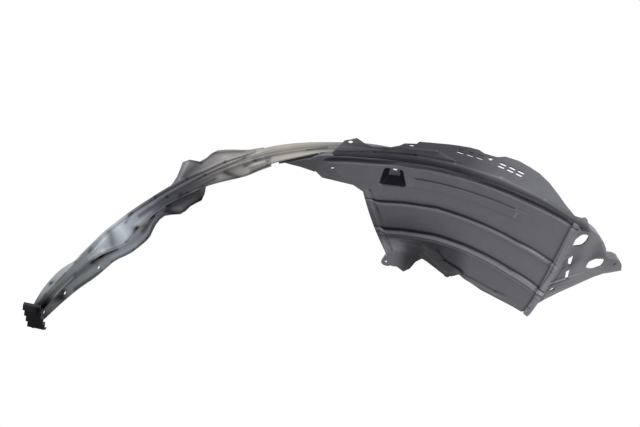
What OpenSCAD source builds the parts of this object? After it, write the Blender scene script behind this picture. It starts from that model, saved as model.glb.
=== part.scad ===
// Front wheel arch liner of a compact car, left as fitted: a wide front panel
// and a narrow rear strip, two mouldings that overlap at the crown of the arch.
// Millimetres. X points to the front of the car, Y inboard and Z up, as fitted.
// The arch is drawn in polar form about the wheel axis: an angle of 0 is
// straight up, a positive angle is to the front, and the radius is the height
// above the wheel axis. The origin is the crown clip hole of the front panel.

/* [Arch] */
// Radius from the wheel axis to the lowest part of the roof
roof_r = 373; // [340:1:410]
// Thickness of the moulded sheet
wall = 2.5; // [2:0.1:3.5]
// Gap between the two mouldings where they overlap
seam_gap = 0.3; // [0.2:0.1:0.6]

/* [Front panel] */
// Depth of the roof from the outboard flange to its inboard edge
panel_w = 246; // [210:1:280]
// Depth of the groove along the foot of the flange
groove_h = 6; // [3:0.5:8]
// Height of the two long stiffening beads
bead_h = 4; // [2:0.5:6]
// Height of the short shallow bead
short_bead_h = 2; // [1:0.5:4]
// Distance from the flange to the short bead
short_bead_y = 33; // [30:0.5:36]
// Distance from the flange to the middle bead
middle_bead_y = 89.5; // [84:0.5:94]
// Distance from the flange to the inboard bead
inner_bead_y = 153.5; // [148:0.5:158]
// Depth of the dished corner beside the ring tab
dish_h = 9; // [4:1:14]
// Height of the raised corner in front of the bracket
lip_h = 3; // [1:0.5:5]

/* [Clip pocket] */
// Angle of the pocket round the arch
pocket_a = 27.4; // [26.4:0.1:28.4]
// Distance of the pocket from the flange
pocket_y = 39; // [36:1:42]
// Length of the pocket's mouth along the arch
pocket_len = 44; // [38:1:48]
// Width of the pocket's mouth
pocket_w = 41; // [36:1:44]
// Depth of the pocket
pocket_h = 16; // [10:1:22]

/* [Front bracket] */
// Rise of the bracket plate for each millimetre forward
bracket_rise = 0.1; // [0.05:0.01:0.15]
// Rise of the bracket plate for each millimetre inboard
bracket_tilt = 0.117; // [0.09:0.001:0.14]
// Thickness of the bracket plate
bracket_t = 3; // [2.5:0.1:4]
// Height of the rim round the bracket plate
rim_h = 14; // [8:1:20]

/* [Holes] */
// Radius of the clip holes in the mouldings
clip_r = 3.5; // [2.5:0.1:4]
// Radius of the flat seat round a clip hole
seat_r = 8; // [7:0.5:10]
// Radius of the ring tab's hole
ring_r = 4; // [3:0.1:4.5]
// Radius of the bracket's screw holes
screw_r = 3; // [2.5:0.1:3.5]
// Height of the large vent slots
vent_h = 4.5; // [3:0.5:5.5]

/* [Rear strip] */
// Depth of the rear strip from its band to its inboard edge
strip_w = 50; // [44:1:58]
// Extra height of the hump behind the band
hump_extra = 0; // [-4:1:8]
// Height of the turned edge on the clip flange
turn_h = 2.5; // [2:0.5:6]
// Number of pleats in the rear foot
pleats = 4; // [3:1:6]

/* [Hidden] */
$fn = 40;

front_colour = [0.22, 0.22, 0.25];
rear_colour = [0.46, 0.47, 0.47];

// Crown clip hole: angle round the arch and height above the roof
crown_a = 17.6;
crown_rise = 27;

// Rise of the roof above roof_r, by angle
ROOF = [[-5, 6], [0, 5], [15, 2], [22, 0], [30, 1], [38, 5.5], [45, 9],
        [55, 18], [60, 23.5], [68, 32], [76, 40]];
// Fall of the roof for each millimetre inboard, by angle
FALL = [[45, 0], [55, 0.05], [61, 0.085], [67, 0.125], [76, 0.15]];
// Free edge of the outboard flange: angle, height above the roof
FLANGE = [[13.6, 4.5], [15.4, 19], [16.4, 28.5], [17.9, 31.5], [18.9, 34.5],
          [20.8, 24], [22.4, 19.5], [25.7, 21], [27.9, 27.5], [28.8, 33], [31.2, 35.5],
          [31.6, 40.5], [34, 42], [37.5, 45.5], [39.5, 47.5], [41.4, 49.5],
          [43.3, 50], [44.5, 46.5], [45.6, 46.5], [47.1, 47], [48.4, 53], [51, 54],
          [53.5, 50.5], [55.8, 46.5], [58.5, 38], [61.8, 25], [64, 16.5],
          [67.2, 7.5], [67.9, 9], [69.3, 15], [71.8, 1], [70.8, -7]];
// Raised rib on the flange: angle, height of its upper and lower edge
RIB = [[15.2, 14.5, 12.5], [16.7, 17.2, 12], [22.4, 15.7, 11.5], [29.4, 18.8, 13.2],
       [35.2, 22.5, 15.2], [38.9, 20.1, 14.8], [41.4, 16.5, 15.5]];
// Left edge of the panel: distance from the flange, angle
LEFT = [[0, 1.5], [12, 4.2], [20, 6.4], [28, 8.6], [38, 10.2], [49, 11],
        [60, 13], [62.5, 17.5], [64.5, 19.5], [70, 20.1], [79, 20.6], [95, 21.1],
        [127, 22.2], [155, 23.3], [197, 25.3], [223, 26.6], [260, 27.3]];
// Front edge of the panel, under the lip: distance from the flange, angle
FRONT = [[-5, 69.8], [15, 69.3], [49, 68.8], [83, 68.2], [114, 67.5],
         [148, 66.8], [176, 66.1], [213, 64.8], [240, 63.6], [260, 62.8]];
// Inboard edge of the panel: angle, distance beyond panel_w
INNER = [[27, 0], [28, 6], [29.4, 2], [30.9, 12], [32.5, 2], [33.6, -10], [35, -20],
         [36.4, -21], [38, -14], [39.5, -6], [41, 0], [42.5, -4], [43.9, -14],
         [45.4, -8], [47, -7], [50, -3], [54, -6], [57, -10], [60.5, -16], [62.4, -21],
         [66, -30]];
// Angles at the inboard edge where the panel has a line of points
COLUMNS = [27, 28, 29.4, 30.2, 30.9, 31.7, 32.5, 33.6, 35, 36.4, 38, 39.5, 40.3, 41,
           41.8, 42.5, 43.2, 43.9, 45.4, 47, 48.5, 50, 52, 54, 56, 58, 59.3, 60.5];
// The last columns, turning the front corner: distance from it, rise outward
CORNER = [[10, 0], [8.5, 0], [5, 0], [2, 0], [0.6, 0.3], [0, 0.8]];
lip_w = 10;
lip_run = 1.5;
// Drift of the beads inboard, by angle
DRIFT = [[23, 4], [30, -1], [38, -2.5], [46, 1], [57, 4], [67, 1]];
first_a = COLUMNS[0];
end_a = 62.4;

// Sections of the rear strip, from the foot to the crown. In each line: angle,
// radius of the band's top edge, then distance inboard and radius of its foot,
// outboard and inboard face of the hump, radius of the hump's top, and radius
// of the inboard edge. Radii are given above roof_r.
STRIP = [[-60, 56, 15, 53, 23, 32, 60, 68],
         [-58, 49, 15, 47, 23, 32, 65, 60],
         [-55, 46, 16, 42, 23, 32, 66, 52],
         [-51.5, 41, 16, 37, 23, 32, 64, 44],
         [-48, 37, 16, 32, 23, 33, 59, 36],
         [-45, 36, 15, 28, 23, 34, 49, 28.5],
         [-42, 35, 14, 21, 22, 34, 36, 24.5],
         [-39, 35, 12, 9, 21, 34, 19, 22],
         [-36, 33, 11, 4, 20, 34, 12, 14],
         [-33, 32, 10, 8, 20, 34, 15, 12],
         [-30, 31, 10, 12, 20, 34, 19, 14],
         [-27, 30, 10, 14, 20, 34, 27, 25],
         [-24, 30, 10, 15, 20, 36, 35, 30],
         [-21, 30, 10, 13, 19, 38, 43, 18],
         [-18, 30, 10, 11, 18, 40, 55, 23],
         [-15, 30, 9, 9, 17, 41, 75, 25],
         [-12.6, 31, 8, 6, 16, 41, 60, 48],
         [-9, 33, 7, 2, 16, 41, 69, 58],
         [-6, 33, 5, -1, 15, 40, 61, 54],
         [-3, 33, 3.2, 1, 14, 37, 51, 48],
         [0, 34, 1.5, 3, 13, 34, 48, 46]];
// Edges of the band where it runs on over the front panel: angle, height of
// the top edge and of the foot above roof_r
BAND = [[-1.5, 34, 2.6], [2, 34.5, 4.5], [6, 33.5, 6.5], [10, 31.5, 9.4],
        [12, 30.5, 10.6], [14, 29.5, 10.8], [21, 28, 12.5], [26, 25, 13]];

function clamp(x, low = 0, high = 1) = min(max(x, low), high);
function ease(x) = let (t = clamp(x)) t * t * (3 - 2 * t);
// 1 between two limits, falling to 0 over the given run outside them
function window(x, low, high, run) =
    ease((x - low) / run + 1) * ease((high - x) / run + 1);

// Smooth curve through a table's rows: the value in column c at x
function row_of(tab, x, i = 0) =
    i >= len(tab) - 2 || x < tab[i + 1][0] ? i : row_of(tab, x, i + 1);
function curve(tab, x, c = 1) =
    let (i = row_of(tab, x), n = len(tab) - 1,
         p = tab[max(i - 1, 0)], q = tab[i], r = tab[i + 1], s = tab[min(i + 2, n)],
         run = r[0] - q[0], t = clamp((x - q[0]) / run),
         m = (r[c] - p[c]) / (r[0] - p[0]) * run,
         k = (s[c] - q[c]) / (s[0] - q[0]) * run)
    (2 * t * t * t - 3 * t * t + 1) * q[c] + (t * t * t - 2 * t * t + t) * m
    + (3 * t * t - 2 * t * t * t) * r[c] + (t * t * t - t * t) * k;

function polar(a, r, y) = [r * sin(a), y, r * cos(a)];
function flange_foot(a) = roof_r + curve(ROOF, a);

// The origin is moved to the crown clip hole
crown_r = flange_foot(crown_a) + crown_rise;
module from_crown() { translate(-polar(crown_a, crown_r, 0)) children(); }
module at_polar(a, r, y = 0) { rotate([0, a, 0]) translate([0, y, r]) children(); }

// Closed sheet between two grids of points of the same size
module sheet(front, back) {
    n = len(front);
    m = len(front[0]);
    function id(side, i, j) = (side * n + i) * m + j;
    points = [for (g = [front, back]) for (line = g) for (p = line) p];
    faces = concat(
        [for (i = [0 : n - 2]) for (j = [0 : m - 2])
            each [[id(0, i, j), id(0, i, j + 1), id(0, i + 1, j + 1)],
                  [id(0, i, j), id(0, i + 1, j + 1), id(0, i + 1, j)],
                  [id(1, i, j), id(1, i + 1, j + 1), id(1, i, j + 1)],
                  [id(1, i, j), id(1, i + 1, j), id(1, i + 1, j + 1)]]],
        [for (i = [0 : n - 2])
            each [[id(0, i, 0), id(0, i + 1, 0), id(1, i + 1, 0)],
                  [id(0, i, 0), id(1, i + 1, 0), id(1, i, 0)],
                  [id(0, i, m - 1), id(1, i + 1, m - 1), id(0, i + 1, m - 1)],
                  [id(0, i, m - 1), id(1, i, m - 1), id(1, i + 1, m - 1)]]],
        [for (j = [0 : m - 2])
            each [[id(0, 0, j), id(1, 0, j + 1), id(0, 0, j + 1)],
                  [id(0, 0, j), id(1, 0, j), id(1, 0, j + 1)],
                  [id(0, n - 1, j), id(0, n - 1, j + 1), id(1, n - 1, j + 1)],
                  [id(0, n - 1, j), id(1, n - 1, j + 1), id(1, n - 1, j)]]]);
    polyhedron(points, faces);
}

// Roof of the front panel: height of its lower face above the wheel axis.
// A SPAN holds the angles between which a bead or ledge runs.
bead_run = 1.8;
short_run = 1.5;
groove_y = 7.5;
groove_run = 1.4;
// The panel leaves the flange at this angle, over the given run
part_a = 9;
part_run = 4;
border_w = 11;
border_h = 3;
border_y = 66;
ledge_y = 33;
ledge_h = 5;
dish_y = 178;
dish_run = 20;
dish_end = 228;
MIDDLE_SPAN = [24.4, 66.2];
INNER_SPAN = [26.3, 64.9];
SHORT_SPAN = [32, 55.5];
LEDGE_SPAN = [6, 14.6];
DISH_SPAN = [29.4, 34];
function drift(a) = curve(DRIFT, clamp(a, DRIFT[0][0], DRIFT[len(DRIFT) - 1][0]));
// Length along the arch of an angle, at the radius of the roof
function along(a) = a * PI / 180 * roof_r;
// Cross-section of a long bead: a full step, then a lower one up to the far side
SHORT_EDGES = [0, 1.5, 18.5, 20];
MIDDLE_EDGES = [0, 1.8, 7.5, 9.3, 13.2, 15];
INNER_EDGES = [0, 1.8, 10.5, 12.3, 21.2, 23];
low_step = 0.45;
function bead(y, edges) = bead_h *
    ((1 - low_step) * window(y, edges[1], edges[2], bead_run)
     + low_step * window(y, edges[1], edges[4], bead_run));
function panel_shape(a, y) =
    flange_foot(a) - curve(FALL, a) * y
    + groove_h * window(y, groove_y - 1, groove_y + 3, groove_run) * parted(a)
    - bead(y - middle_bead_y - drift(a), MIDDLE_EDGES)
        * window(a, MIDDLE_SPAN[0], MIDDLE_SPAN[1], 0.5)
    - bead(y - inner_bead_y - drift(a), INNER_EDGES) * window(a, INNER_SPAN[0], INNER_SPAN[1], 0.5)
    - short_bead_h * window(y - short_bead_y, SHORT_EDGES[1], SHORT_EDGES[2], short_run)
        * window(a, SHORT_SPAN[0], SHORT_SPAN[1], 0.8)
    + ledge_h * ease((y - ledge_y) / 2.5) * window(a, LEDGE_SPAN[0], LEDGE_SPAN[1], 0.6)
    + dish_h * ease((y - dish_y) / dish_run) * ease((dish_end - y) / dish_run + 1)
        * window(a, DISH_SPAN[0], DISH_SPAN[1], 3.5)
    + border_h * ease((along(left_a(y) - a) + border_w) / 3 + 1) * ease((y - border_y) / 10);
function left_a(y) = curve(LEFT, y);
function front_a(y) = curve(FRONT, y);
function corner_gap(a, y) = along(front_a(y) - a);
function roof(a, y) =
    panel_shape(a, y) - lip_h * ease((lip_w - corner_gap(a, y)) / lip_run);

// Lines of points across the panel: those near the flange follow it, the
// middle ones lie along the beads, and the last ones follow the inboard edge
// The panel's outboard edge lies behind the band up to part_a, and then runs
// out to the flange
behind_y = 6;
edge_y = -0.5;
function parted(a) = ease((a - part_a) / part_run);
function outer_y(a) = behind_y + (edge_y - behind_y) * parted(a);
NEAR = [0, 3.2];
MIDDLE = concat([5.1, 6.5, 10.5, 11.9, 20],
    [for (e = SHORT_EDGES) short_bead_y + e], [62, 76],
    [for (e = MIDDLE_EDGES) middle_bead_y + e], [115, 134],
    [for (e = INNER_EDGES) inner_bead_y + e], [185, 196]);
// Share of the beads' drift that each middle line takes
function drift_share(y) = ease((y - 55) / 20) * (1 - 0.5 * ease((y - 186) / 8));
FAR = [0.2, 0.4, 0.6, 0.8, 1];
last_y = MIDDLE[len(MIDDLE) - 1];
function inner_y(a) = panel_w + lookup(a, INNER);
function line_y(k, a, end) =
    k < len(NEAR) ? outer_y(a) + NEAR[k] + (k > 0 && a < part_a ? -1.5 : 0)
    : k < len(NEAR) + len(MIDDLE)
        ? MIDDLE[k - len(NEAR)]
            + 4 * (1 - parted(a)) * clamp(1 - (k - len(NEAR)) / 5)
    : last_y + (inner_y(end) - last_y) * FAR[k - len(NEAR) - len(MIDDLE)];
LINES = len(NEAR) + len(MIDDLE) + len(FAR);

// A point of the panel and its outward normal, from small steps along the face
function on_roof(a, y) = polar(a, roof(a, y), y);
function normal(a, y) =
    let (da = on_roof(a + 0.15, y) - on_roof(a - 0.15, y),
         dy = on_roof(a, y + 0.6) - on_roof(a, y - 0.6),
         n = cross(da, dy))
    n / norm(n);
function up(a) = [sin(a), 0, cos(a)];

// The bracket plate, and the wall that rises to it from the panel's front edge
plate_a = 68.3;
plate_at = polar(plate_a, flange_foot(plate_a), 0);
function plate_z(x, y) =
    plate_at[2] + bracket_rise * (x - plate_at[0]) + bracket_tilt * y;
function leg_foot(y) = on_roof(front_a(y), y);
leg_y = inner_y(end_a) - 3;
LEG_Y = [for (share = [1, 0.94, 0.82, 0.7, 0.58, 0.46, 0.35, 0.23, 0.12, 0.04, 0])
    share * leg_y];
function leg_points(y, out) = let (p = leg_foot(y))
    [p + [out, 0, 0.3], [p[0] + out, y, plate_z(p[0] + out, y) + bracket_t / 2]];
module leg() {
    rows = reversed(LEG_Y);
    sheet([for (y = rows) leg_points(y, wall)], [for (y = rows) leg_points(y, 0)]);
}

// Each column: the visible face and the back face
// The first columns slant, so the angle that shapes their ends starts lower
slant = 0.35;
slant_a = 2;
function plain_of(u) = first_a + (end_a - first_a) * u;
function nominal_of(u) =
    u < slant ? slant_a + (plain_of(u) - slant_a) * u / slant : plain_of(u);
function panel_a(u, y) = left_a(y) + u * (front_a(y) - left_a(y));
function drifted(a, y) = [a, y + (y < last_y + 1 ? drift(a) * drift_share(y) : 0)];
function column(u) = [for (k = [0 : LINES - 1])
    let (y = line_y(k, nominal_of(u), plain_of(u)), p = drifted(panel_a(u, y), y))
    [panel_a(u, p[1]), p[1]]];
function corner_column(c) = [for (k = [0 : LINES - 1])
    let (y = line_y(k, end_a, end_a), p = drifted(front_a(y), y))
    [front_a(p[1]) - c[0] / along(1), p[1]]];
module roof_sheet() {
    main = [for (a = COLUMNS) column((a - first_a) / (end_a - first_a))];
    tail = [for (c = CORNER) corner_column(c)];
    front = concat(
        [for (line = main) [for (p = line) on_roof(p[0], p[1])]],
        [for (i = [0 : len(CORNER) - 1]) [for (p = tail[i])
            on_roof(p[0], p[1]) + CORNER[i][1] * up(p[0])]]);
    back = concat(
        [for (line = main) [for (p = line)
            on_roof(p[0], p[1]) + wall * normal(p[0], p[1])]],
        [for (line = tail) [for (p = line) on_roof(p[0], p[1]) + wall * up(p[0])]]);
    sheet(back, front);
}

// Outboard flange with its tabs, clip holes and vent slots
flange_drop = 1.5;
rib_h = 0.8;
// Depth that one form is set into another, and reach of a cut through a sheet
embed = 0.5;
reach = 20;
module flange_plate() {
    top = [for (p = FLANGE) let (r = flange_foot(p[0]) + p[1]) [r * sin(p[0]), r * cos(p[0])]];
    foot = [for (a = [69 : -1 : 14]) let (r = flange_foot(a) - flange_drop)
        [r * sin(a), r * cos(a)]];
    rotate([90, 0, 0]) linear_extrude(wall) polygon(concat(top, foot));
    rib = [for (c = [1, 2]) [for (p = RIB) let (r = flange_foot(p[0]) + p[c])
        [r * sin(p[0]), r * cos(p[0])]]];
    translate([0, embed - wall, 0]) rotate([90, 0, 0]) linear_extrude(rib_h + embed)
        polygon(concat(rib[0], reversed(rib[1])));
}
// Low upstand of the panel's edge behind the rear strip: angle and height
UPSTAND = [[1.8, 3], [3, 8], [5, 11], [7, 12], [9.2, 12], [9.9, 11], [10.7, 6],
           [12, 6], [13, 6], [13.8, 6]];
module upstand() {
    face = [for (p = UPSTAND) let (r = flange_foot(p[0]) + wall / 2, y = outer_y(p[0]) + 0.2)
        [polar(p[0], r, y), polar(p[0], r + p[1], y)]];
    sheet(face, [for (line = face) [for (p = line) p + [0, wall, 0]]]);
}
module across_flange(a, rise) {
    at_polar(a, flange_foot(a) + rise, -wall / 2) rotate([90, 0, 0]) children();
}
// Slot with round ends, drawn as one outline
END_ARC = [-90 : 30 : 90];
module slot(length, width, depth) {
    half = (length - width) / 2;
    linear_extrude(depth, center = true) polygon(concat(
        [for (t = END_ARC) [half + width / 2 * cos(t), width / 2 * sin(t)]],
        [for (t = END_ARC) [-half - width / 2 * cos(t), -width / 2 * sin(t)]]));
}
// Vent slots: angles, and heights above the roof
vent_len = 11;
REAR_VENTS = [40.15, 42.2, 44.2];
FRONT_VENTS = [48.9, 50.9, 52.8];
module vents() {
    for (a = REAR_VENTS) {
        across_flange(a, 35) slot(vent_len, vent_h * 0.7, reach);
        across_flange(a, 40.5) slot(vent_len * 0.8, vent_h * 0.35, reach);
    }
    for (a = FRONT_VENTS) for (rise = [31.8, 37.6])
        across_flange(a, rise - (a - FRONT_VENTS[0]) * 0.6) slot(vent_len, vent_h, reach);
}
// Screw hole and clip slot in the flange: angle, height above the roof
flange_hole_a = 46.2;
flange_hole_rise = 40;
clip_slot_a = 30.3;
clip_slot_rise = 31.5;

// Hopper-shaped clip pocket with a flat floor, sunk outward from the roof
pocket_taper = 8;
pocket_corner = 6;
pocket_floor = [0.36, 0.42];
module hopper(grow, h) {
    far = pocket_len / 2 + grow;
    near = far - pocket_taper;
    half = pocket_w / 2 + grow;
    linear_extrude(h, scale = pocket_floor, slices = 1)
        offset(r = pocket_corner, $fn = 24) offset(delta = -pocket_corner)
        polygon([[-far, half], [far, half], [near, -half], [-near, -half]]);
}
module at_pocket() { at_polar(pocket_a, flange_foot(pocket_a), pocket_y) children(); }

// Screw tab at the left inboard corner, and flat seats for clips on the roof
seat_t = wall + 1;
ring_a = 26.9;
ring_y = panel_w + 5;
ring_border = 5;
tongue_a = 13.7;
tongue_y = 28;
module at_ring() { at_polar(ring_a, roof(28.5, panel_w - 10), ring_y) children(); }
module ring_tab() {
    at_ring() {
        cylinder(r = ring_r + ring_border, h = seat_t);
        linear_extrude(seat_t) polygon([[-9, 0], [-4, -16], [16, -14], [8, 4]]);
    }
}
// Small plate where the inboard edge is folded
fold_a = 41.6;
fold_drop = 1.5;
module at_fold() {
    at_polar(fold_a, roof(fold_a, panel_w - 14) - fold_drop, panel_w - 17) children();
}
module fold_seat() {
    at_fold() linear_extrude(wall) polygon([[-24, -14], [-4, -20], [22, -9], [26, 0],
        [14, 0], [3, 17], [-2, 17]]);
}

// Bracket plate with its lightening slots, screw holes and upright rim
plate_n = [-bracket_rise, -bracket_tilt, 1];
plate_len = norm(plate_n);
module on_plate() {
    translate(plate_at)
        rotate([asin(bracket_tilt / plate_len), -atan(bracket_rise), 0]) children();
}
// Place on the plate of a point given by its distance forward of the wheel axis
// and inboard of the flange, and the plate's own axes over its slope
plate_x = 376.6;
plate_skew = 0.0115;
plate_run = 1.007;
function on(x, y) = [x - plate_x + plate_skew * y, y * plate_run];
INNER_EDGE = [for (i = [0 : len(LEG_Y) - 2]) let (y = LEG_Y[i])
    on(leg_foot(y)[0] + wall / 2 - plate_at[0] + plate_x, y)];
EAR = [on(384, 4), on(386, 0.5), on(390, -1), on(395, 1), on(398.5, 8), on(401, 22)];
ARC = [on(412, 39), on(421, 51), on(431, 66), on(442, 87), on(451, 109), on(456, 131)];
ARM = [on(463, 143), on(479, 155), on(488, 165), on(494, 178), on(498, 197)];
LOWER = [on(479, 192), on(464, 187), on(449, 187), on(433, 190), on(416, 194),
         on(392, 199), on(368, 207), on(354, 215), on(346, leg_y + 4)];
// Wall of the given height along the inside of an outline
function beside(pts, t) = [for (i = [0 : len(pts) - 1])
    let (p = pts[max(i - 1, 0)], r = pts[min(i + 1, len(pts) - 1)], d = (r - p) / norm(r - p))
    pts[i] + t * [-d[1], d[0]]];
function reversed(pts) = [for (i = [len(pts) - 1 : -1 : 0]) pts[i]];
module wall_along(pts, t, h) {
    linear_extrude(h) polygon(concat(pts, reversed(beside(pts, t))));
}
module at_plate(x, y) { on_plate() translate(on(x, y)) children(); }
lower_rim_h = 4;
module bracket() {
    on_plate() {
        linear_extrude(bracket_t) polygon(concat(INNER_EDGE, EAR, ARC, ARM, LOWER));
        translate([0, 0, embed])
            wall_along(concat([EAR[len(EAR) - 1]], ARC, ARM), wall, rim_h);
        translate([0, 0, embed]) wall_along(LOWER, wall, bracket_t + lower_rim_h);
    }
}
module window_cut(pts, round_r = 0.1) {
    on_plate() linear_extrude(reach, center = true) offset(r = round_r, $fn = 16)
        offset(delta = -round_r) polygon([for (p = pts) on(p[0], p[1])]);
}
window_round = 5;
// Screw holes in the bracket: forward of the wheel axis, inboard, radius
SCREWS = [[394, 23, screw_r], [480, 169, screw_r], [376, 183, screw_r + 2]];
module bracket_cuts() {
    window_cut([[386, 66], [388, 50], [396, 42], [404, 46], [412, 56], [410, 70], [404, 76],
                [392, 72]], window_round);
    window_cut([[425, 146], [427, 132], [438, 130], [452, 138], [458, 148], [457, 162],
                [442, 163], [432, 157]], window_round);
    window_cut([[387, 101], [396, 95], [397, 127], [389, 118]]);
    window_cut([[391, 139], [398, 137], [400, 165], [393, 163]]);
    for (c = SCREWS) at_plate(c[0], c[1]) cylinder(r = c[2], h = 2 * reach, center = true);
}

module front_solid() {
    difference() {
        union() {
            roof_sheet();
            flange_plate();
            at_pocket() translate([0, 0, embed]) hopper(wall, pocket_h + wall);
            ring_tab();
            fold_seat();
            upstand();
            leg();
            bracket();
            at_polar(tongue_a, roof(tongue_a, tongue_y) - embed, tongue_y)
                cylinder(r = seat_r - 2, h = seat_t);
        }
        at_pocket() translate([0, 0, -1]) hopper(0.5, pocket_h + 1);
        at_pocket() cylinder(r = clip_r, h = 3 * pocket_h);
        across_flange(crown_a, crown_rise) cylinder(r = clip_r, h = reach, center = true);
        across_flange(flange_hole_a, flange_hole_rise)
            cylinder(r = screw_r, h = reach, center = true);
        across_flange(clip_slot_a, clip_slot_rise) slot(7, 4, reach);
        vents();
        at_ring() cylinder(r = ring_r, h = reach, center = true);
        at_polar(tongue_a, roof(tongue_a, tongue_y), tongue_y)
            cylinder(r = screw_r, h = reach, center = true);
        bracket_cuts();
    }
}

// Rear strip: one section of the strip as points [inboard, radius], with the
// corners rounded, and its back face
function section(a) =
    let (top = curve(STRIP, a, 1), foot_y = curve(STRIP, a, 2), foot = curve(STRIP, a, 3),
         near = curve(STRIP, a, 4), far = curve(STRIP, a, 5),
         hump = curve(STRIP, a, 6) + hump_extra, edge = curve(STRIP, a, 7),
         far_foot = edge + (hump - edge) * 0.12 + 1,
         near_foot = foot + 1.5)
    [[0, top], [foot_y, foot], [near - 2, near_foot], [near + 2, max(hump, near_foot + 4)],
     [far, max(hump, far_foot + 3)], [far + 5, far_foot], [strip_w, edge],
     [strip_w + 1, edge - turn_h]];
// The band's face has a shallow groove under its top edge, which fades out
// towards the crown
edge_groove = 1.2;
EDGE_LINES = [3.5, 4.5, 7.5, 8.5];
function grooved(a) =
    let (pts = section(a), face = (pts[1] - pts[0]) / norm(pts[1] - pts[0]),
         deep = [edge_groove * ease(-a / 8), 0],
         mid = [for (i = [0 : 3]) pts[0] + face * EDGE_LINES[i]
             + (i == 1 || i == 2 ? deep : [0, 0])],
         rest = [for (i = [1 : len(pts) - 1]) pts[i]])
    concat([pts[0], mid[0], mid[1], mid[2]], rounded(concat([mid[3]], rest), 4));
function rounded(pts, reach) = concat([pts[0]],
    [for (i = [1 : len(pts) - 2])
        let (p = pts[i - 1], q = pts[i], r = pts[i + 1],
             d = min(reach, norm(q - p) * 0.42, norm(r - q) * 0.42),
             s = q + (p - q) / norm(p - q) * d, e = q + (r - q) / norm(r - q) * d)
        each [s, (s + 2 * q + e) / 4, e]],
    [pts[len(pts) - 1]]);
foot_a = -59.5;
strip_end_a = 0;
steps = 42;
module strip_sheet() {
    angles = [for (i = [0 : steps]) foot_a + (strip_end_a - foot_a) * i / steps];
    lines = [for (a = angles) grooved(a)];
    front = [for (i = [0 : steps]) [for (p = lines[i])
        polar(angles[i], roof_r + p[1], seam_gap + p[0])]];
    back = [for (i = [0 : steps]) [for (p = beside(lines[i], wall))
        polar(angles[i], roof_r + p[1], seam_gap + p[0])]];
    sheet(back, front);
}
// The band alone runs on behind the front panel's flange, and has a notch that
// leaves the crown clip room
clip_room = 3;
module band_end() {
    angles = [for (a = [strip_end_a - 1 : 1 : BAND[len(BAND) - 1][0]]) a];
    edge = [for (a = angles) let (r = roof_r + curve(BAND, a, 1)) [r * sin(a), r * cos(a)]];
    foot = [for (i = [len(angles) - 1 : -1 : 0])
        let (a = angles[i], r = roof_r + curve(BAND, a, 2)) [r * sin(a), r * cos(a)]];
    translate([0, seam_gap + wall, 0]) rotate([90, 0, 0])
        linear_extrude(wall) polygon(concat(edge, foot));
}
// Pleated foot: a zigzag sheet that closes the lower end of the strip
pleat_h = 5;
pleat_t = 4;
foot_h = 24;
foot_rise = 46;
module pleated_foot() {
    pitch = strip_w / pleats;
    zig = concat([for (i = [0 : 2 * pleats]) [i * pitch / 2, i % 2 * pleat_h]],
                 [for (i = [2 * pleats : -1 : 0]) [i * pitch / 2, i % 2 * pleat_h - pleat_t]]);
    at_polar(foot_a, roof_r + foot_rise, seam_gap) rotate([0, 0, 90])
        linear_extrude(foot_h) polygon(zig);
}
// Clip holes along the inboard flange: angle, distance inboard
STRIP_CLIPS = [[-56.4, 45], [-51.1, 45], [-42.9, 45], [-25.8, 45.5]];
function strip_r(a, y) =
    let (far = curve(STRIP, a, 5) + 5, edge = curve(STRIP, a, 7),
         hump = curve(STRIP, a, 6) + hump_extra, base = edge + (hump - edge) * 0.12 + 1)
    roof_r + base + (edge - base) * clamp((y - far) / (strip_w - far));
function on_strip(a, y) = polar(a, strip_r(a, y), seam_gap + y);
// A hole stands square to the flange, whose normal comes from small steps
module at_strip_clip(c) {
    n = cross(on_strip(c[0] + 0.5, c[1]) - on_strip(c[0] - 0.5, c[1]),
              on_strip(c[0], c[1] + 1) - on_strip(c[0], c[1] - 1));
    translate(on_strip(c[0], c[1]))
        rotate([0, acos(n[2] / norm(n)), atan2(n[1], n[0])]) children();
}
module front_liner() {
    color(front_colour) from_crown() front_solid();
}

module rear_liner() {
    color(rear_colour) from_crown() difference() {
        union() {
            strip_sheet();
            band_end();
            pleated_foot();
            for (c = STRIP_CLIPS) at_strip_clip(c) translate([0, 0, -embed])
                cylinder(r = seat_r - 2, h = seat_t);
        }
        for (c = STRIP_CLIPS) at_strip_clip(c)
            cylinder(r = clip_r - 0.5, h = reach, center = true);
        at_polar(crown_a, crown_r) rotate([90, 0, 0])
            cylinder(r = clip_r + clip_room, h = reach, center = true);
    }
}

rear_liner();
front_liner();
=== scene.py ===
# %% [markdown]
# This lesson dresses a wheel arch liner, the thin plastic shell that keeps
# road water out of a car's wing. It is two mouldings: a wide front panel and a
# narrow rear strip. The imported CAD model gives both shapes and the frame, so
# the lesson is about surface, light and the small marks of a moulded sheet.

# %% Load the frame
import math
import bpy
import numpy as np
from mathutils import Matrix, Vector

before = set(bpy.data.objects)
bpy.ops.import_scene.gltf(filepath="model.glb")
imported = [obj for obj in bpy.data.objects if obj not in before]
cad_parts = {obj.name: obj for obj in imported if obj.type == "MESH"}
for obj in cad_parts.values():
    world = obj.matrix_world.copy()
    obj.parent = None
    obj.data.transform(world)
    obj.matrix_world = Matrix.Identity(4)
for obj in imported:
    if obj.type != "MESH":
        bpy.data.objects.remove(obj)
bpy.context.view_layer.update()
print("nodes:", sorted(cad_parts))

# %% [markdown]
# The liner is a piece of a ring about the wheel's axle, so most features are
# easiest to place by an angle round the arch and a distance inboard. The
# origin of the frame is the crown clip hole, and this cell says where the
# wheel's axle lies below it.

# %% The wheel's axle in the frame
CROWN_ANGLE = 17.6
CROWN_RADIUS = 0.401184
AXLE_X = -CROWN_RADIUS * math.sin(math.radians(CROWN_ANGLE))
AXLE_Z = -CROWN_RADIUS * math.cos(math.radians(CROWN_ANGLE))
ROOF_RADIUS = 0.373
print("axle at", round(AXLE_X, 4), round(AXLE_Z, 4))

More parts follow.
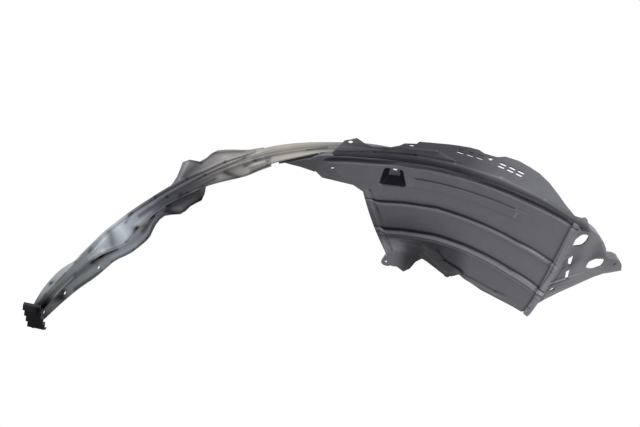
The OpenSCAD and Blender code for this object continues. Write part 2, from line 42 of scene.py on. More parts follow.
# %% [markdown]
# The photograph looks up into the arch from the outboard side. The camera is
# about two metres away with a long lens. Its direction was found by matching
# holes and edges of the photograph to points of the CAD model.

# %% Camera
LOOK_UP = math.radians(40)
TURN = math.radians(16.3)
CAMERA_AT = (-0.43406, -1.49961, -1.32528)
LENS_MM = 78.75
SENSOR_MM = 36
FARTHEST = 20
right = np.array([math.cos(TURN), 0, -math.sin(TURN)])
above = np.array([math.cos(LOOK_UP) * math.sin(TURN), -math.sin(LOOK_UP),
                  math.cos(LOOK_UP) * math.cos(TURN)])
onward = np.array([math.sin(LOOK_UP) * math.sin(TURN), math.cos(LOOK_UP),
                   math.sin(LOOK_UP) * math.cos(TURN)])
camera_data = bpy.data.cameras.new("camera")
camera_data.lens = LENS_MM
camera_data.sensor_width = SENSOR_MM
camera_data.clip_end = FARTHEST
camera_data.dof.use_dof = False
camera = bpy.data.objects.new("camera", camera_data)
bpy.context.scene.collection.objects.link(camera)
pose = np.eye(4)
pose[:3, 0], pose[:3, 1], pose[:3, 2], pose[:3, 3] = right, above, -onward, CAMERA_AT
camera.matrix_world = Matrix(pose.tolist())
bpy.context.scene.camera = camera
print("camera", CAMERA_AT)

# %% [markdown]
# CAD surfaces arrive as flat triangles. A small node group shades them smooth
# and keeps an edge sharp only where two faces meet at a clear angle, so the
# curved sheet looks moulded and the holes stay crisp.

# %% Smooth shading that keeps sharp edges
SHARP_ANGLE = math.radians(28)
MERGE_DISTANCE = 0.00001


def smooth_group():
    tree = bpy.data.node_groups.new("smooth_by_angle", "GeometryNodeTree")
    tree.interface.new_socket("Geometry", in_out="INPUT", socket_type="NodeSocketGeometry")
    tree.interface.new_socket("Geometry", in_out="OUTPUT", socket_type="NodeSocketGeometry")
    start = tree.nodes.new("NodeGroupInput")
    end = tree.nodes.new("NodeGroupOutput")
    merge = tree.nodes.new("GeometryNodeMergeByDistance")
    merge.inputs["Distance"].default_value = MERGE_DISTANCE
    faces = tree.nodes.new("GeometryNodeSetShadeSmooth")
    faces.domain = "FACE"
    edges = tree.nodes.new("GeometryNodeSetShadeSmooth")
    edges.domain = "EDGE"
    edges.inputs["Shade Smooth"].default_value = False
    angle = tree.nodes.new("GeometryNodeInputMeshEdgeAngle")
    sharp = tree.nodes.new("FunctionNodeCompare")
    sharp.operation = "GREATER_THAN"
    sharp.inputs["B"].default_value = SHARP_ANGLE
    links = tree.links
    links.new(start.outputs[0], merge.inputs["Geometry"])
    links.new(merge.outputs["Geometry"], faces.inputs["Geometry"])
    links.new(faces.outputs["Geometry"], edges.inputs["Geometry"])
    links.new(angle.outputs["Unsigned Angle"], sharp.inputs["A"])
    links.new(sharp.outputs["Result"], edges.inputs["Selection"])
    links.new(edges.outputs["Geometry"], end.inputs[0])
    return tree


SMOOTH = smooth_group()


def shade(piece):
    modifier = piece.modifiers.new("smooth", "NODES")
    modifier.node_group = SMOOTH


for name in ("front_liner", "rear_liner"):
    shade(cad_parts[name])
print("smooth shading on", len(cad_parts), "nodes")

# %% [markdown]
# The materials need to know where a point lies: its angle round the axle, its
# radius, its distance inboard, and how far it stands above the roof of the
# arch. Small helpers keep the node work short. One adds a Math node, one draws
# a graph as a colour ramp from a few chosen points, and one draws a graph of
# millimetres or degrees, scaled down because a ramp keeps to a range of 0 to 1.

# %% Node helpers
RAMP_SPAN = 100


def maths(tree):
    def step(operation, *values, clamp=False):
        node = tree.nodes.new("ShaderNodeMath")
        node.operation = operation
        node.use_clamp = clamp
        for slot, value in zip(node.inputs, values):
            if isinstance(value, (int, float)):
                slot.default_value = value
            else:
                tree.links.new(value, slot)
        return node.outputs[0]
    return step


def graph(tree, value, points):
    low, high = points[0][0], points[-1][0]
    spread = tree.nodes.new("ShaderNodeMapRange")
    spread.inputs["From Min"].default_value = low
    spread.inputs["From Max"].default_value = high
    ramp = tree.nodes.new("ShaderNodeValToRGB")
    stops = ramp.color_ramp.elements
    for at, tone in points[1:-1]:
        stops.new((at - low) / (high - low))
    for stop, (at, tone) in zip(stops, points):
        stop.color = (*tone, 1) if isinstance(tone, tuple) else (tone, tone, tone, 1)
    tree.links.new(value, spread.inputs["Value"])
    tree.links.new(spread.outputs[0], ramp.inputs[0])
    return ramp.outputs[0]


def measure(tree, value, points, lift=0):
    step = maths(tree)
    ramp = graph(tree, value, [(at, (size + lift) / RAMP_SPAN) for at, size in points])
    return step("SUBTRACT", step("MULTIPLY", ramp, RAMP_SPAN), lift)


# %% [markdown]
# A node group is a recipe that several materials share. This one works out
# the place of a point round the arch, by x = radius * sin(angle) and
# z = radius * cos(angle) about the axle.

# %% Node group: place round the arch
# Degrees round the arch, then millimetres: the rise of the roof over its
# lowest radius, and the drift of the long beads inboard
ROOF_RISE = [(-5, 6), (0, 5), (15, 2), (22, 0), (30, 1), (38, 5.5), (45, 9), (55, 18),
             (60, 23.5), (68, 32), (76, 40)]
BEAD_DRIFT = [(23, 4), (30, -1), (38, -2.5), (46, 1), (57, 4), (67, 1)]
DRIFT_LIFT = 10
MM = 1000


def arch_place_group():
    tree = bpy.data.node_groups.new("arch_place", "ShaderNodeTree")
    end = tree.nodes.new("NodeGroupOutput")
    coords = tree.nodes.new("ShaderNodeTexCoord")
    split = tree.nodes.new("ShaderNodeSeparateXYZ")
    tree.links.new(coords.outputs["Object"], split.inputs[0])
    step = maths(tree)
    x = step("SUBTRACT", split.outputs["X"], AXLE_X)
    z = step("SUBTRACT", split.outputs["Z"], AXLE_Z)
    angle = step("DEGREES", step("ARCTAN2", x, z))
    square = step("ADD", step("MULTIPLY", x, x), step("MULTIPLY", z, z))
    radius = step("SUBTRACT", step("MULTIPLY", step("SQRT", square), MM), ROOF_RADIUS * MM)
    inboard = step("MULTIPLY", split.outputs["Y"], MM)
    rise = step("SUBTRACT", radius, measure(tree, angle, ROOF_RISE))
    across = step("SUBTRACT", inboard, measure(tree, angle, BEAD_DRIFT, DRIFT_LIFT))
    for label, value in (("Angle", angle), ("Radius", radius), ("Inboard", inboard),
                         ("Rise", rise), ("Across", across)):
        tree.interface.new_socket(label, in_out="OUTPUT", socket_type="NodeSocketFloat")
        tree.links.new(value, end.inputs[label])
    return tree


ARCH_PLACE = arch_place_group()
print("node group", ARCH_PLACE.name)

# %% [markdown]
# Thin plastic comes out of the mould satin, with a fine grain and slow waves where the sheet cooled
# unevenly. Real grain is far too small to model, so two noises drive a bump, and another shifts the
# roughness a little. Edges get a painted highlight: a bevel's normal differs from the surface's
# only beside an edge. The tone comes in from outside, so each moulding has its own.

# %% Node group: satin moulded surface
WAVE_SCALE = 14
GRAIN_SCALE = 700
GRAIN_DEPTH = 0.000005
MOTTLE_SCALE = 60
# The scale and the detail of each noise
NOISES = ((WAVE_SCALE, 2), (GRAIN_SCALE, 1), (MOTTLE_SCALE, 4))
EDGE_RADIUS = 0.0012
EDGE_SAMPLES = 4
EDGE_SPREAD = 5
EDGE_HIGHLIGHT_GAIN = 0.7
# The shine grows with the tone up to this tone, so black stays dull
SHINY_TONE = 0.13
SHINE = 4


def moulded_group():
    tree = bpy.data.node_groups.new("moulded", "ShaderNodeTree")
    tree.interface.new_socket("Tone", in_out="INPUT", socket_type="NodeSocketColor")
    for label in ("Roughness", "Wave", "Mottle"):
        tree.interface.new_socket(label, in_out="INPUT", socket_type="NodeSocketFloat")
    tree.interface.new_socket("Shader", in_out="OUTPUT", socket_type="NodeSocketShader")
    start = tree.nodes.new("NodeGroupInput")
    end = tree.nodes.new("NodeGroupOutput")
    shader = tree.nodes.new("ShaderNodeBsdfPrincipled")
    coords = tree.nodes.new("ShaderNodeTexCoord")
    noises = []
    for scale, detail in NOISES:
        noise = tree.nodes.new("ShaderNodeTexNoise")
        noise.inputs["Scale"].default_value = scale
        noise.inputs["Detail"].default_value = detail
        tree.links.new(coords.outputs["Object"], noise.inputs["Vector"])
        noises.append(noise.outputs[0])
    wave, grain, mottle = noises
    slow = tree.nodes.new("ShaderNodeBump")
    fine = tree.nodes.new("ShaderNodeBump")
    links = tree.links
    links.new(start.outputs["Wave"], slow.inputs["Distance"])
    fine.inputs["Distance"].default_value = GRAIN_DEPTH
    links.new(wave, slow.inputs["Height"])
    links.new(grain, fine.inputs["Height"])
    links.new(slow.outputs[0], fine.inputs["Normal"])
    links.new(fine.outputs[0], shader.inputs["Normal"])
    step = maths(tree)
    uneven = step("MULTIPLY", step("SUBTRACT", mottle, 0.5), start.outputs["Mottle"])
    links.new(step("ADD", start.outputs["Roughness"], uneven), shader.inputs["Roughness"])
    brightness = tree.nodes.new("ShaderNodeRGBToBW")
    links.new(start.outputs["Tone"], brightness.inputs[0])
    links.new(step("MULTIPLY", step("MINIMUM", brightness.outputs[0], SHINY_TONE), SHINE),
              shader.inputs["Specular IOR Level"])
    # Painted highlight beside every edge, found from the bevel's normal
    rounded = tree.nodes.new("ShaderNodeBevel")
    rounded.samples = EDGE_SAMPLES
    rounded.inputs["Radius"].default_value = EDGE_RADIUS
    geometry = tree.nodes.new("ShaderNodeNewGeometry")
    likeness = tree.nodes.new("ShaderNodeVectorMath")
    likeness.operation = "DOT_PRODUCT"
    links.new(rounded.outputs[0], likeness.inputs[0])
    links.new(geometry.outputs["Normal"], likeness.inputs[1])
    apart = step("SUBTRACT", 1, likeness.outputs["Value"])
    edge = step("MULTIPLY", apart, EDGE_SPREAD, clamp=True)
    edge_highlight = step("ADD", 1, step("MULTIPLY", edge, EDGE_HIGHLIGHT_GAIN))
    colour = tree.nodes.new("ShaderNodeVectorMath")
    colour.operation = "SCALE"
    links.new(start.outputs["Tone"], colour.inputs[0])
    links.new(step("MULTIPLY", step("ADD", uneven, 1), edge_highlight), colour.inputs["Scale"])
    links.new(colour.outputs[0], shader.inputs["Base Color"])
    links.new(shader.outputs[0], end.inputs[0])
    return tree


MOULDED = moulded_group()


def moulded_material(name, roughness, wave, mottle, tone_of):
    material = bpy.data.materials.new(name)
    material.use_nodes = True
    tree = material.node_tree
    tree.nodes.remove(tree.nodes["Principled BSDF"])
    place = tree.nodes.new("ShaderNodeGroup")
    place.node_tree = ARCH_PLACE
    surface = tree.nodes.new("ShaderNodeGroup")
    surface.node_tree = MOULDED
    surface.inputs["Roughness"].default_value = roughness
    surface.inputs["Wave"].default_value = wave
    surface.inputs["Mottle"].default_value = mottle
    tree.links.new(tone_of(tree, place.outputs), surface.inputs["Tone"])
    tree.links.new(surface.outputs[0], tree.nodes["Material Output"].inputs["Surface"])
    return material


print("node group", MOULDED.name)

# %% [markdown]
# Painted highlights and shade on the sheet are easiest to place where they show in the picture, so
# each one is a few points in the picture, in pixels from its top left corner.
# A ray from the camera through such a point meets the CAD model at a place in
# the frame. That place is all that a material gets, so it stays on the part.
# Where a ray just misses the part, the search tries the pixels round it.

# %% Places seen in the picture
PICTURE_SIZE = (640, 427)
PANEL_MIDDLE = (480, 235)
SEARCH_PIXELS = 3

bpy.context.view_layer.update()
model = bpy.context.evaluated_depsgraph_get()


def surface_at(x, y):
    for reach in range(SEARCH_PIXELS + 1):
        for aside in (-reach, 0, reach):
            for down in (-reach, 0, reach):
                along = ((x + aside) / PICTURE_SIZE[0] - 0.5) * SENSOR_MM
                up = (PICTURE_SIZE[1] / 2 - y - down) / PICTURE_SIZE[0] * SENSOR_MM
                ray = LENS_MM * onward + along * right + up * above
                found, place, *_ = bpy.context.scene.ray_cast(model, CAMERA_AT, ray)
                if found:
                    return place
    return None


print("the panel's middle lies at", [round(value, 3) for value in surface_at(*PANEL_MIDDLE)])

# %% [markdown]
# Painted shade in creases and painted highlights and reflections on ridges make dark and light
# streaks on the sheet. A node group draws one such streak: its strength is 1 along a line between
# two points and fades as exp(-(distance / width)^2) beside it. The distance squared is that to the
# first point, less what lies along the line.

# %% Node group: one streak


def streak_group():
    tree = bpy.data.node_groups.new("streak", "ShaderNodeTree")
    for label in ("From", "To"):
        tree.interface.new_socket(label, in_out="INPUT", socket_type="NodeSocketVector")
    for label in ("Width", "Gain", "Tone"):
        tree.interface.new_socket(label, in_out="INPUT", socket_type="NodeSocketFloat")
    tree.interface.new_socket("Tone", in_out="OUTPUT", socket_type="NodeSocketFloat")
    start = tree.nodes.new("NodeGroupInput")
    end = tree.nodes.new("NodeGroupOutput")
    coords = tree.nodes.new("ShaderNodeTexCoord")
    given = start.outputs

    def vector(operation, first, second, out="Value"):
        node = tree.nodes.new("ShaderNodeVectorMath")
        node.operation = operation
        tree.links.new(first, node.inputs[0])
        tree.links.new(second, node.inputs[1])
        return node.outputs[out]

    step = maths(tree)
    line = vector("SUBTRACT", given["To"], given["From"], "Vector")
    square = vector("DOT_PRODUCT", line, line)
    along = step("SUBTRACT", vector("DOT_PRODUCT", coords.outputs["Object"], line),
                 vector("DOT_PRODUCT", given["From"], line))
    along = step("DIVIDE", along, square)
    held = step("ADD", along, 0, clamp=True)
    reach = vector("DISTANCE", coords.outputs["Object"], given["From"])
    saved = step("MULTIPLY", held, step("SUBTRACT", step("MULTIPLY", along, 2), held))
    apart = step("SUBTRACT", step("MULTIPLY", reach, reach), step("MULTIPLY", saved, square))
    apart = step("DIVIDE", apart, step("MULTIPLY", given["Width"], given["Width"]))
    fade = step("POWER", math.e, step("MULTIPLY", apart, -1))
    gain = step("ADD", 1, step("MULTIPLY", fade, step("SUBTRACT", given["Gain"], 1)))
    tree.links.new(step("MULTIPLY", given["Tone"], gain), end.inputs[0])
    return tree


STREAK = streak_group()


def streaked(tree, tone, streaks):
    for width, gain, *points in streaks.values():
        places = [surface_at(*point) for point in points]
        for first, last in zip(places, places[1:]):
            if first is None or last is None:
                continue
            node = tree.nodes.new("ShaderNodeGroup")
            node.node_tree = STREAK
            node.inputs["From"].default_value = first
            node.inputs["To"].default_value = last
            node.inputs["Width"].default_value = width / MM
            node.inputs["Gain"].default_value = gain
            tree.links.new(tone, node.inputs["Tone"])
            tone = node.outputs[0]
    return tone


print("node group", STREAK.name)

# %% [markdown]
# Each streak has a width in millimetres, a gain, and its points. A gain over 1 is a painted
# highlight or sheen on a ridge, and a gain under 1 is painted shade in a crease or hollow. The
# front panel's streaks lie along its flange, its edges and the bracket plate.

# %% Streaks seen on the front panel
FRONT_SHINE_AND_SHADE_STREAKS = {
    "flange_root": (2, 0.45, (337, 151), (375, 152), (415, 155), (453, 162)),
    "flange_shade": (5, 0.7, (349, 144), (385, 149), (437, 153)),
    "flange_rib": (1.5, 1.5, (409, 148), (437, 151), (455, 161)),
    "fold_ridge": (2, 1.5, (419, 156), (455, 164), (501, 178), (545, 200), (573, 218)),
    "panel_sheen": (3, 1.25, (421, 169), (465, 180)),
    "bead_stop": (1.5, 1.5, (517, 213), (514, 217.6)),
    "edge_ridge": (2, 1.4, (366, 190), (373, 208), (381, 232), (387, 252)),
    "edge_groove": (2, 0.5, (370, 190), (377.4, 209), (384.6, 232), (392, 250)),
    "corner_sheen": (7, 1.4, (391, 248), (405, 250)),
    "dish_shade": (9, 0.7, (391, 237), (419, 244), (437, 248)),
    "ledge_groove": (2.2, 0.45, (465, 275), (495, 291), (529, 308)),
    "ledge_ridge": (2, 1.4, (465, 279), (495, 294.4), (526, 311)),
    "fold_crease": (3, 0.5, (437, 250), (445, 260), (463, 272)),
    "fold_ridge_low": (2.5, 1.35, (425, 252), (445, 272), (457, 273)),
    "tooth_rim": (2.5, 1.4, (405, 268), (421, 256)),
    "lip_ridge": (2.5, 1.35, (577.4, 220), (555, 268), (534, 305)),
    "lip_groove": (2, 0.45, (572.6, 228), (551, 272), (531, 302)),
    "lip_shadow": (2.5, 0.5, (581.4, 228), (563, 268), (541, 300)),
    "plate_shade": (16, 0.6, (585, 232), (571, 260), (555, 284)),
    "ear_shade": (16, 0.65, (599, 246), (597, 256), (613, 262)),
    "plate_rim": (2, 1.5, (589, 230), (603, 240), (605, 252)),
    "plate_fold": (2, 1.35, (543, 298), (575, 284), (605, 272)),
}
print("streaks on the front panel:", len(FRONT_SHINE_AND_SHADE_STREAKS))

# %% [markdown]
# The strip carries many more, because the sheet twists and its shine breaks
# at every fold. They go from the foot, over the leg, the hump, the lobes and
# the fin, up to the crown.

# %% Streaks seen on the rear strip
STRIP_SHINE_AND_SHADE_STREAKS = {
    "foot_shade": (8, 0.08, (45, 306), (62, 297)),
    "foot_corner": (6.5, 0.1, (40, 311), (45, 306)),
    "foot_crease": (4.5, 0.32, (49, 301), (63, 291)),
    "leg_groove": (3, 0.41, (44, 295), (51, 283), (75, 261.4)),
    "leg_groove_side": (3, 0.63, (56, 283), (65, 274)),
    "leg_edge": (3.5, 0.54, (45, 301), (75, 274)),
    "leg_sheen": (4, 1.15, (50, 291), (75, 265)),
    "flange_crease": (3.5, 0.27, (75, 275.4), (93, 260)),
    "flange_crease_core": (4.5, 0.11, (92, 262), (101, 256), (116, 249)),
    "crease_ridge": (3, 1.5, (90, 258), (103, 251)),
    "crease_ridge_top": (2.5, 1.35, (103, 251), (115, 245)),
    "leg_flange_edge": (3, 0.36, (75, 289), (103, 272)),
    "leg_flange_sheen": (4, 1.1, (79, 277), (99, 265)),
    "hump_band": (6, 0.42, (110, 233), (113.4, 246)),
    "hump_sheen_low": (6, 1.3, (104, 237), (99, 249)),
    "hump_sheen_high": (7, 1.3, (121, 229), (127, 239)),
    "hump_mark": (3, 0.45, (89, 252), (91, 249)),
    "hump_nick": (2, 0.36, (132, 213), (125.4, 222.6)),
    "hump_wall_foot": (2.5, 0.23, (137, 228), (126.2, 242)),
    "hump_wall_top": (2.5, 0.27, (154, 216), (137, 228)),
    "hump_wall_shade": (4.5, 0.45, (135, 229), (145, 225)),
    "hump_hollow": (5, 0.5, (153, 217), (143, 231)),
    "hump_ridge": (2, 1.35, (135, 225), (151, 212)),
    "bowl_sheen_low": (7, 1.3, (115, 257), (135, 247)),
    "bowl_sheen_high": (6, 1.25, (135, 247), (146, 235)),
    "bowl_edge": (2.5, 0.36, (112, 262), (135, 251), (148, 238), (153, 225)),
    "lobe_end": (3.5, 0.27, (166, 211), (178, 214.4)),
    "lobe_edge": (3, 0.36, (178, 214.4), (201, 199.4), (205, 187)),
    "lobe_sheen": (6, 1.5, (179, 205), (195, 192)),
    "lobe_rim": (4, 1.8, (195, 191), (203, 189)),
    "lobe_hollow": (4.5, 0.41, (169, 208), (181, 195)),
    "lobe_root": (3, 0.41, (167, 206), (203, 187)),
    "fin_rim": (2.5, 1.8, (179.4, 179), (188.6, 161)),
    "fin_shade": (9, 0.45, (185, 176), (196, 166)),
    "fin_edge": (3, 0.36, (188.6, 160.6), (201, 162.6)),
    "step_edge": (3, 0.45, (201, 162.6), (215, 153)),
    "crown_edge": (3, 0.54, (215, 153), (243, 151.4)),
    # Two painted sheens on the crown
    "crown_painted_sheen_low": (8, 1.35, (205, 170), (225, 157)),
    "crown_painted_sheen_high": (6, 1.25, (225, 157), (239, 155)),
    "outer_line_low": (2.5, 0.41, (129, 215), (155, 197)),
    "outer_line_middle": (2.5, 0.36, (155, 197), (187, 178.6), (225, 162)),
    "outer_line_high": (2.5, 0.41, (225, 162), (255, 152)),
    "middle_line_low": (2.5, 0.45, (139, 216), (167, 197)),
    "middle_line_middle": (2.5, 0.36, (167, 197), (205, 175)),
    "middle_line_high": (2.5, 0.41, (205, 175), (245, 158)),
    "inner_line": (3, 0.41, (155, 213), (187, 193), (215, 179)),
    "band_ridge": (1.5, 1.4, (151, 205), (195, 180)),
    "crown_lobe_end": (3.5, 0.32, (225, 172.6), (238, 177.4)),
    "crown_lobe_shade": (8, 0.5, (229, 172), (245, 166)),
    "crown_lobe_rim": (2, 1.5, (238, 177.4), (251, 172)),
    "crown_lobe_edge": (3, 0.54, (251, 172), (268, 165)),
    "recess_edge": (3, 0.41, (245, 166), (255, 161), (270, 158)),
    "recess_middle": (3, 0.45, (251, 168), (269, 161)),
    "crown_sheen": (5, 1.2, (273, 160), (315, 151)),
    "crown_line": (2, 0.45, (307, 150), (327, 147.4)),
}
print("streaks on the rear strip:", len(STRIP_SHINE_AND_SHADE_STREAKS))

# %% [markdown]
# The front panel's tone is a product of graphs: one along the arch, one across the beads with
# painted shade in the creases and painted highlights on the ridges, then painted shade at the
# inboard corner, the flange's foot and the clip pocket, and a painted sheen in the dish.

# %% Front panel's tone
FRONT_TINT = (0.97, 0.96, 1.12)
# Gain at millimetres inboard, over the long beads, then over the short bead: painted shade in the
# grooves and painted highlights on the steps and walls beside them
BEAD_SHADE_AND_SHINE = [(-3, 1), (0, 0.4), (3, 0.35), (5, 0.6), (9.6, 0.85), (10.6, 1.6), (12, 1.5), (13.5, 1),
          (88.4, 1), (89.5, 0.18), (90.5, 0.22), (91.2, 0.8), (92, 1.6), (95, 1.4), (96.8, 0.8),
          (99, 0.95), (101, 1.1), (103.5, 0.85), (107, 1), (151.5, 1), (153.3, 0.22), (154.3, 0.18),
          (155.2, 0.8), (157, 1.7), (162.5, 1.8), (164.2, 0.45), (166, 0.4), (169, 1), (173, 1.05),
          (175.5, 0.65), (179, 0.9), (260, 0.88)]
SHORT_BEAD = [(32.4, 1), (33.2, 0.4), (34, 0.45), (34.8, 1.15), (36, 1), (50.5, 1), (51.8, 0.5),
              (52.8, 0.45), (53.8, 1.15), (55, 1)]
# Tone at degrees round the arch: the panel, then the flange
ALONG = [(-5, 0.055), (8, 0.06), (16, 0.095), (26, 0.105), (58, 0.105), (72, 0.1)]
FLANGE_ALONG = [(12, 0.05), (20, 0.042), (30, 0.03), (42, 0.036), (50, 0.075), (60, 0.095),
                (72, 0.11)]
# Gain at millimetres above the roof, on the flange: painted shade at its foot
FLANGE_FOOT_SHADE = [(0, 0.35), (4, 0.55), (10, 1), (40, 1.05), (60, 1.2)]
# Angle of the front edge at millimetres inboard, and gain at degrees behind it: a painted highlight
# on the lip and painted shade just behind it
FRONT_EDGE = [(-5, 69.8), (49, 68.8), (114, 67.5), (176, 66.1), (213, 64.8), (240, 63.6)]
LIP_SHINE_AND_SHADE = [(-3, 1.25), (-0.3, 1.45), (1.3, 1.5), (1.5, 0.55), (1.9, 0.6), (2.3, 1)]
# Spans are a start, an end and the run over which they fade
LONG_BEAD_ANGLES = (12, 68, 1.5)
SHORT_BEAD_ANGLES = (32, 55.5, 0.6)
FLANGE_DEPTHS = (-60, -0.6, 0.4)
# Areas are a span of angles, a span inboard and a gain: painted shade in the inboard corner and a
# painted sheen in the dish
SHADE_AND_SHEEN_AREAS = {"inboard_corner_shade": ((30, 47, 4), (165, 400, 8), 0.5),
         "dish": ((18, 31.5, 3), (180, 400, 20), 2.6)}
# Painted shade that deepens inboard of 85 mm and below 46 degrees round the arch
SHADE_DEPTH, SHADE_RUN, SHADE_ANGLE, SHADE_FADE, SHADE_GAIN = 85, 60, 46, 14, 0.55
# Painted shade on the clip pocket's walls
POCKET_ANGLES, POCKET_DEPTHS, POCKET_RISES = (23.6, 31.2, 0.4), (16, 62, 2), (0.8, 15, 1.5)
POCKET_SHADE = 0.85


def blends(tree):
    step = maths(tree)

    def between(value, low, high, run):
        up = step("DIVIDE", step("SUBTRACT", value, low), run, clamp=True)
        down = step("DIVIDE", step("SUBTRACT", high, value), run, clamp=True)
        return step("MULTIPLY", up, down)

    def mix(share, inside, outside):
        return step("ADD", step("MULTIPLY", share, inside),
                    step("MULTIPLY", step("SUBTRACT", 1, share), outside))
    return between, mix


def tinted(tree, colour, tone):
    tint = tree.nodes.new("ShaderNodeVectorMath")
    tint.operation = "SCALE"
    if isinstance(colour, tuple):
        tint.inputs[0].default_value = colour
    else:
        tree.links.new(colour, tint.inputs[0])
    tree.links.new(tone, tint.inputs["Scale"])
    return tint.outputs[0]


def front_tone(tree, place):
    step = maths(tree)
    between, mix = blends(tree)
    angle, inboard, rise = place["Angle"], place["Inboard"], place["Rise"]
    lines = mix(between(angle, *LONG_BEAD_ANGLES), graph(tree, place["Across"], BEAD_SHADE_AND_SHINE), 1)
    short = mix(between(angle, *SHORT_BEAD_ANGLES), graph(tree, inboard, SHORT_BEAD), 1)
    panel = step("MULTIPLY", step("MULTIPLY", graph(tree, angle, ALONG), lines), short)
    shade = step("DIVIDE", step("SUBTRACT", inboard, SHADE_DEPTH), SHADE_RUN, clamp=True)
    fade = step("DIVIDE", step("SUBTRACT", SHADE_ANGLE, angle), SHADE_FADE, clamp=True)
    panel = step("MULTIPLY", panel, mix(step("MULTIPLY", shade, fade), SHADE_GAIN, 1))
    for angles, depths, gain in SHADE_AND_SHEEN_AREAS.values():
        area = step("MULTIPLY", between(inboard, *depths), between(angle, *angles))
        panel = step("MULTIPLY", panel, mix(area, gain, 1))
    pocket = step("MULTIPLY", between(angle, *POCKET_ANGLES), between(inboard, *POCKET_DEPTHS))
    walls = step("MULTIPLY", pocket, between(rise, *POCKET_RISES))
    panel = step("MULTIPLY", panel, mix(walls, 1 - POCKET_SHADE, 1))
    behind = step("SUBTRACT", measure(tree, inboard, FRONT_EDGE), angle)
    panel = step("MULTIPLY", panel, graph(tree, behind, LIP_SHINE_AND_SHADE))
    flange = step("MULTIPLY", graph(tree, angle, FLANGE_ALONG), graph(tree, rise, FLANGE_FOOT_SHADE))
    tone = mix(between(inboard, *FLANGE_DEPTHS), flange, panel)
    return tinted(tree, FRONT_TINT, streaked(tree, tone, FRONT_SHINE_AND_SHADE_STREAKS))


front_plastic = moulded_material("front_plastic", roughness=0.36, wave=0.0006, mottle=0.24,
                                 tone_of=front_tone)
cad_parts["front_liner"].data.materials.clear()
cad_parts["front_liner"].data.materials.append(front_plastic)
print("front tone:", len(front_plastic.node_tree.nodes), "shader nodes")

# %% [markdown]
# The rear strip is the same plastic, but it faces the light and shines. Its colour round the arch
# carries painted reflections, cool and pale down its leg and warm at the crown, and painted shade
# dark towards the foot. Its band carries painted shade and painted highlights along its ribs and
# rolled edge.

# %% Rear strip's tone
# Colour at degrees round the arch, with painted reflections on the leg and crown and painted shade
# at the foot
STRIP_SHEEN_AND_SHADE_ALONG = [(-61, (0.01, 0.01, 0.012)), (-58.6, (0.018, 0.018, 0.021)),
               (-57, (0.035, 0.037, 0.04)), (-54, (0.12, 0.127, 0.133)),
               (-48, (0.17, 0.185, 0.2)), (-42, (0.21, 0.235, 0.25)), (-36, (0.22, 0.245, 0.27)),
               (-31, (0.15, 0.16, 0.185)), (-26, (0.09, 0.092, 0.115)),
               (-18, (0.075, 0.075, 0.085)), (-10, (0.105, 0.1, 0.1)), (-2, (0.13, 0.125, 0.117)),
               (4, (0.17, 0.162, 0.14)), (10, (0.16, 0.153, 0.133)), (15, (0.13, 0.13, 0.13)),
               (26, (0.1, 0.1, 0.105))]
# Gain at millimetres above the roof, over the band: painted shade and painted highlights along its
# ribs and rolled edge
BAND_SHADE_AND_SHINE_LINES = [(0, 0.9), (9, 1.15), (12, 1.1), (16, 0.5), (18, 0.55), (19.5, 0.95), (21, 0.6),
              (23.5, 0.65), (25, 1.05), (26.5, 0.75), (28, 1.25), (30, 1.3), (36, 1.1)]
BAND_DEPTH, BAND_EDGE, BAND_START, BAND_FADE = 15, 3, -33, 8


def rear_tone(tree, place):
    step = maths(tree)
    _, mix = blends(tree)
    near = step("DIVIDE", step("SUBTRACT", BAND_DEPTH, place["Inboard"]), BAND_EDGE, clamp=True)
    ahead = step("DIVIDE", step("SUBTRACT", place["Angle"], BAND_START), BAND_FADE, clamp=True)
    lines = graph(tree, place["Radius"], BAND_SHADE_AND_SHINE_LINES)
    tone = streaked(tree, mix(step("MULTIPLY", near, ahead), lines, 1), STRIP_SHINE_AND_SHADE_STREAKS)
    return tinted(tree, graph(tree, place["Angle"], STRIP_SHEEN_AND_SHADE_ALONG), tone)


rear_plastic = moulded_material("rear_plastic", roughness=0.36, wave=0.0003, mottle=0.1,
                                tone_of=rear_tone)
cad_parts["rear_liner"].data.materials.clear()
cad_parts["rear_liner"].data.materials.append(rear_plastic)
print("rear tone:", len(rear_plastic.node_tree.nodes), "shader nodes")

# %% [markdown]
# The liner hangs from the wing, so nothing stands under it. The background is
# white where the camera looks past the part, and an even grey-white light from
# all round it fills the hollows.

# %% Background
WHITE = (1, 1, 1, 1)
WORLD_LIGHT = 0.7


def white_to_camera(tree, plain):
    path = tree.nodes.new("ShaderNodeLightPath")
    step = maths(tree)
    seen = step("MAXIMUM", path.outputs["Is Camera Ray"], path.outputs["Is Glossy Ray"])
    seen = step("MAXIMUM", seen, path.outputs["Is Transmission Ray"])
    strength = tree.nodes.new("ShaderNodeMapRange")
    strength.inputs["To Min"].default_value = plain
    strength.inputs["To Max"].default_value = 1
    tree.links.new(seen, strength.inputs["Value"])
    return strength.outputs[0]


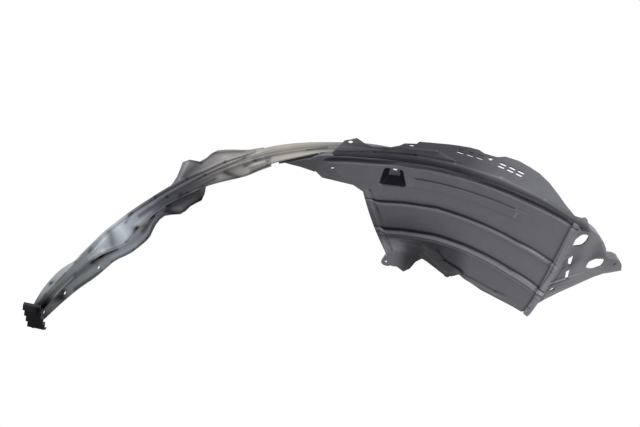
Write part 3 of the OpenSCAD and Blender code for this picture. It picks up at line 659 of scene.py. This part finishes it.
world = bpy.data.worlds.new("studio")
bpy.context.scene.world = world
world.use_nodes = True
sky = world.node_tree.nodes["Background"]
sky.inputs["Color"].default_value = WHITE
world.node_tree.links.new(white_to_camera(world.node_tree, WORLD_LIGHT), sky.inputs["Strength"])
print("world:", world.name)

# %% [markdown]
# The floor is one wide square of pale matt paint.

# %% Floor
FLOOR_Z = -1.75
FLOOR_HALF = 4.5
FLOOR_GREY = (0.82, 0.82, 0.82, 1)
FLOOR_ROUGHNESS = 0.9

floor_mesh = bpy.data.meshes.new("floor")
corners = [(-1, -1), (1, -1), (1, 1), (-1, 1)]
floor_mesh.from_pydata([(x * FLOOR_HALF, y * FLOOR_HALF, FLOOR_Z) for x, y in corners], [],
                       [(0, 1, 2, 3)])
floor = bpy.data.objects.new("floor", floor_mesh)
bpy.context.scene.collection.objects.link(floor)
floor_material = bpy.data.materials.new("floor")
floor_material.use_nodes = True
paint = floor_material.node_tree.nodes["Principled BSDF"]
paint.inputs["Base Color"].default_value = FLOOR_GREY
paint.inputs["Roughness"].default_value = FLOOR_ROUGHNESS
floor_mesh.materials.append(floor_material)
print("floor at", FLOOR_Z)

# %% [markdown]
# Each lamp is placed from the camera: so far to the right, so far up and so far
# back from the point that it lights. The key lamp is above, so the flange and
# the beads cast soft shade, and the weaker fill lamp lights that shade a little.

# %% Lamps
# The point they look at, then each one's place seen from the camera, in metres
AIM = np.array([-0.12, 0.1, -0.1])


def soft_box(name, side, lift, back, size, watts):
    at = AIM + side * right + lift * above - back * onward
    data = bpy.data.lights.new(name, "AREA")
    data.shape = "RECTANGLE"
    data.size, data.size_y = size
    data.energy = watts
    lamp = bpy.data.objects.new(name, data)
    bpy.context.scene.collection.objects.link(lamp)
    lamp.location = at
    lamp.rotation_euler = Vector(AIM - at).to_track_quat("-Z", "Y").to_euler()


soft_box("key", side=-0.6, lift=1.5, back=1.0, size=(1.4, 0.5), watts=42)
soft_box("fill", side=1.2, lift=-0.6, back=1.6, size=(0.9, 0.9), watts=16)
print("lamps: key and fill")

# %% [markdown]
# The view transform is Standard, so a colour in a material comes out much as
# it is written.

# %% Finish
bpy.context.scene.view_settings.view_transform = "Standard"
